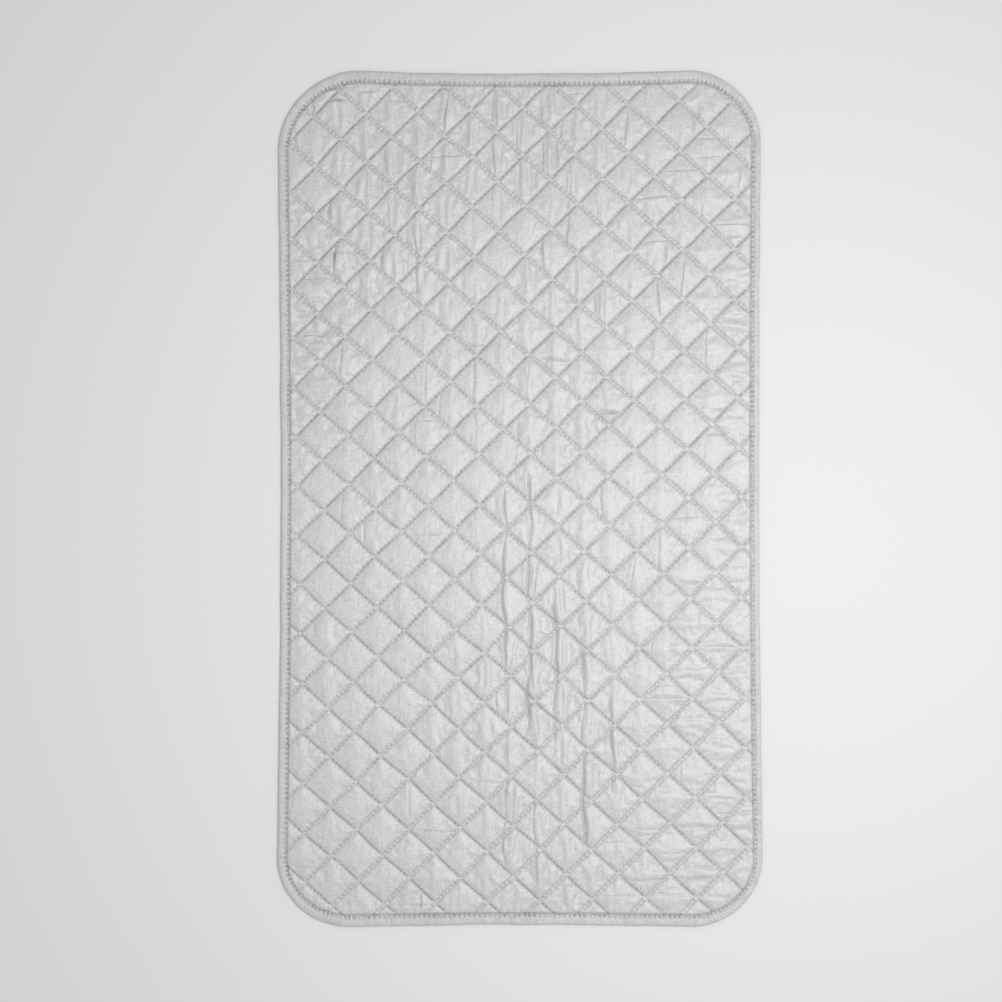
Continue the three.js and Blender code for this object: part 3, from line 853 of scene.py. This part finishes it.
def cloth_material(name, colour, roughness, metal=0.0, weave=0.0006, with_painted_shade=False):
    """Plain-woven cloth: threads both ways, flecks, upright slubs and an uneven tone. Where asked, the tone
    is darker by the mesh's painted shade value, which paints the shade of grooves, slits, pits and creases."""
    mat = bpy.data.materials.new(name)
    mat.use_nodes = True
    nodes, links = mat.node_tree.nodes, mat.node_tree.links
    shader = nodes["Principled BSDF"]
    shader.inputs["Metallic"].default_value = metal
    place = nodes.new("ShaderNodeTexCoord").outputs["Object"]

    def grains(scale, detail, stretch=(1, 1, 1)):
        mapping = nodes.new("ShaderNodeMapping")
        mapping.inputs["Scale"].default_value = stretch
        texture = nodes.new("ShaderNodeTexNoise")
        texture.inputs["Scale"].default_value = scale
        texture.inputs["Detail"].default_value = detail
        links.new(place, mapping.inputs["Vector"])
        links.new(mapping.outputs["Vector"], texture.inputs["Vector"])
        return texture.outputs["Fac"]

    def threads(direction):
        texture = nodes.new("ShaderNodeTexWave")
        texture.bands_direction = direction
        texture.inputs["Scale"].default_value = math.pi / 10 / weave
        texture.inputs["Distortion"].default_value = WEAVE_DISTORTION
        texture.inputs["Detail"].default_value = 1
        links.new(place, texture.inputs["Vector"])
        return texture.outputs["Fac"]

    def joined(operation, first, second):
        node = nodes.new("ShaderNodeMath")
        node.operation = operation
        for socket, value in zip(node.inputs, (first, second)):
            if isinstance(value, (int, float)):
                socket.default_value = value
            else:
                links.new(value, socket)
        return node.outputs["Value"]

    def set_stop(stop, position, share):
        stop.position = position
        stop.color = tuple(min(1, share * c) for c in colour) + (1,)

    flecks = grains(FLECK_SCALE, FLECK_DETAIL)
    slubs = grains(SLUB_SCALE, SLUB_DETAIL, SLUB_STRETCH)
    clouds = grains(CLOUD_SCALE, CLOUD_DETAIL)
    weaving = joined("MULTIPLY", threads("X"), threads("Y"))
    tone = joined("ADD", joined("MULTIPLY", flecks, FLECK_TONE), joined("MULTIPLY", slubs, SLUB_TONE))
    tone = joined("ADD", tone, joined("MULTIPLY", clouds, CLOUD_TONE))
    # Painted shade: the mesh's value darkens the colour where its grooves, slits, pits and creases would lie
    # in shade.
    if with_painted_shade:
        holes = nodes.new("ShaderNodeAttribute")
        holes.attribute_name = "painted_shade"
        tone = joined("SUBTRACT", tone, joined("MULTIPLY", holes.outputs["Fac"], PAINTED_SHADE_TONE))
    ramp = nodes.new("ShaderNodeValToRGB")
    stops = ramp.color_ramp.elements
    set_stop(stops[0], *DARK_STOP)
    set_stop(stops[1], *LIGHT_STOP)
    set_stop(stops.new(LOW_STOP[0]), *LOW_STOP)
    links.new(tone, ramp.inputs["Fac"])
    links.new(ramp.outputs["Color"], shader.inputs["Base Color"])
    relief = joined("ADD", joined("MULTIPLY", weaving, WEAVE_RELIEF), joined("ADD", flecks, slubs))
    bump = nodes.new("ShaderNodeBump")
    bump.inputs["Strength"].default_value = BUMP_STRENGTH
    bump.inputs["Distance"].default_value = BUMP_DISTANCE
    links.new(relief, bump.inputs["Height"])
    links.new(bump.outputs["Normal"], shader.inputs["Normal"])
    dulled = joined("ADD", joined("MULTIPLY", flecks, ROUGHNESS_SPREAD), roughness - ROUGHNESS_SPREAD / 2)
    links.new(dulled, shader.inputs["Roughness"])
    return mat


silver = cloth_material("silver_cotton", (0.63, 0.63, 0.63), 0.5, metal=0.15, with_painted_shade=True)
tape = cloth_material("binding_cotton", (0.59, 0.59, 0.59), 0.55, metal=0.15, with_painted_shade=True)
thread = cloth_material("thread", (0.79, 0.79, 0.79), 0.55, weave=0.0004)
lining = cloth_material("backing_cotton", (0.60, 0.60, 0.59), 0.8, with_painted_shade=True)
fibre = cloth_material("wadding_fibre", (0.82, 0.82, 0.80), 0.95, weave=0.002)

# What each piece is: its material, its slot and the CAD nodes that it replaces on both leaves

THREAD_NODES = [f"quilting_thread_{number}" for number in range(1, ROWS_PER_LEAF + 1)]
PIECES = (
    (cover, silver, "cover", ["top_cover"]),
    (wadding, fibre, "wadding", ["wadding"]),
    (backing, lining, "backing", ["backing"]),
    (binding, tape, "binding", ["edge_binding"]),
    (quilting, thread, "thread", THREAD_NODES),
    (bobbin, thread, "thread", []),
    (binding_stitches, thread, "thread", ["binding_thread"]),
    (binding_bobbin, thread, "thread", []),
)
for piece, mat, slot, nodes in PIECES:
    piece.data.materials.append(mat)
    if nodes:
        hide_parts(*[f"{side}_{node}" for node in nodes for side in ("left", "right")])
    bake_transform(piece)

# Pale floor and level sky

bpy.ops.mesh.primitive_plane_add(size=FLOOR_SIZE, location=(0, 0, FLOOR_LEVEL))
floor = bpy.context.object
floor.name = "floor"
floor_mat = bpy.data.materials.new("floor")
floor_mat.use_nodes = True
floor_shader = floor_mat.node_tree.nodes["Principled BSDF"]
floor_shader.inputs["Base Color"].default_value = FLOOR_COLOUR
floor_shader.inputs["Roughness"].default_value = FLOOR_ROUGHNESS
floor.data.materials.append(floor_mat)

world = bpy.data.worlds.new("studio")
bpy.context.scene.world = world
world.use_nodes = True
sky = world.node_tree.nodes["Background"]
sky.inputs["Color"].default_value = SKY_COLOUR
sky.inputs["Strength"].default_value = SKY_STRENGTH


# Soft light from above on the right, and the camera

def area_light(name, place, target, size, power):
    """A soft square lamp at a place, turned to a target."""
    lamp = bpy.data.lights.new(name, "AREA")
    lamp.size = size
    lamp.energy = power
    obj = bpy.data.objects.new(name, lamp)
    bpy.context.scene.collection.objects.link(obj)
    obj.location = place
    direction = np.subtract(target, place)
    flat = math.hypot(direction[0], direction[1])
    heading = math.atan2(direction[1], direction[0])
    obj.rotation_euler = (math.atan2(flat, -direction[2]), 0, heading - math.pi / 2)


area_light("key", KEY_PLACE, KEY_TARGET, KEY_SIZE, KEY_POWER)

camera = bpy.data.cameras.new("camera")
camera.sensor_width = CAMERA_SENSOR
camera.lens = CAMERA_LENS
camera_object = bpy.data.objects.new("camera", camera)
bpy.context.scene.collection.objects.link(camera_object)
camera_object.location = CAMERA_PLACE
bpy.context.scene.camera = camera_object
bpy.context.scene.view_settings.view_transform = "Standard"
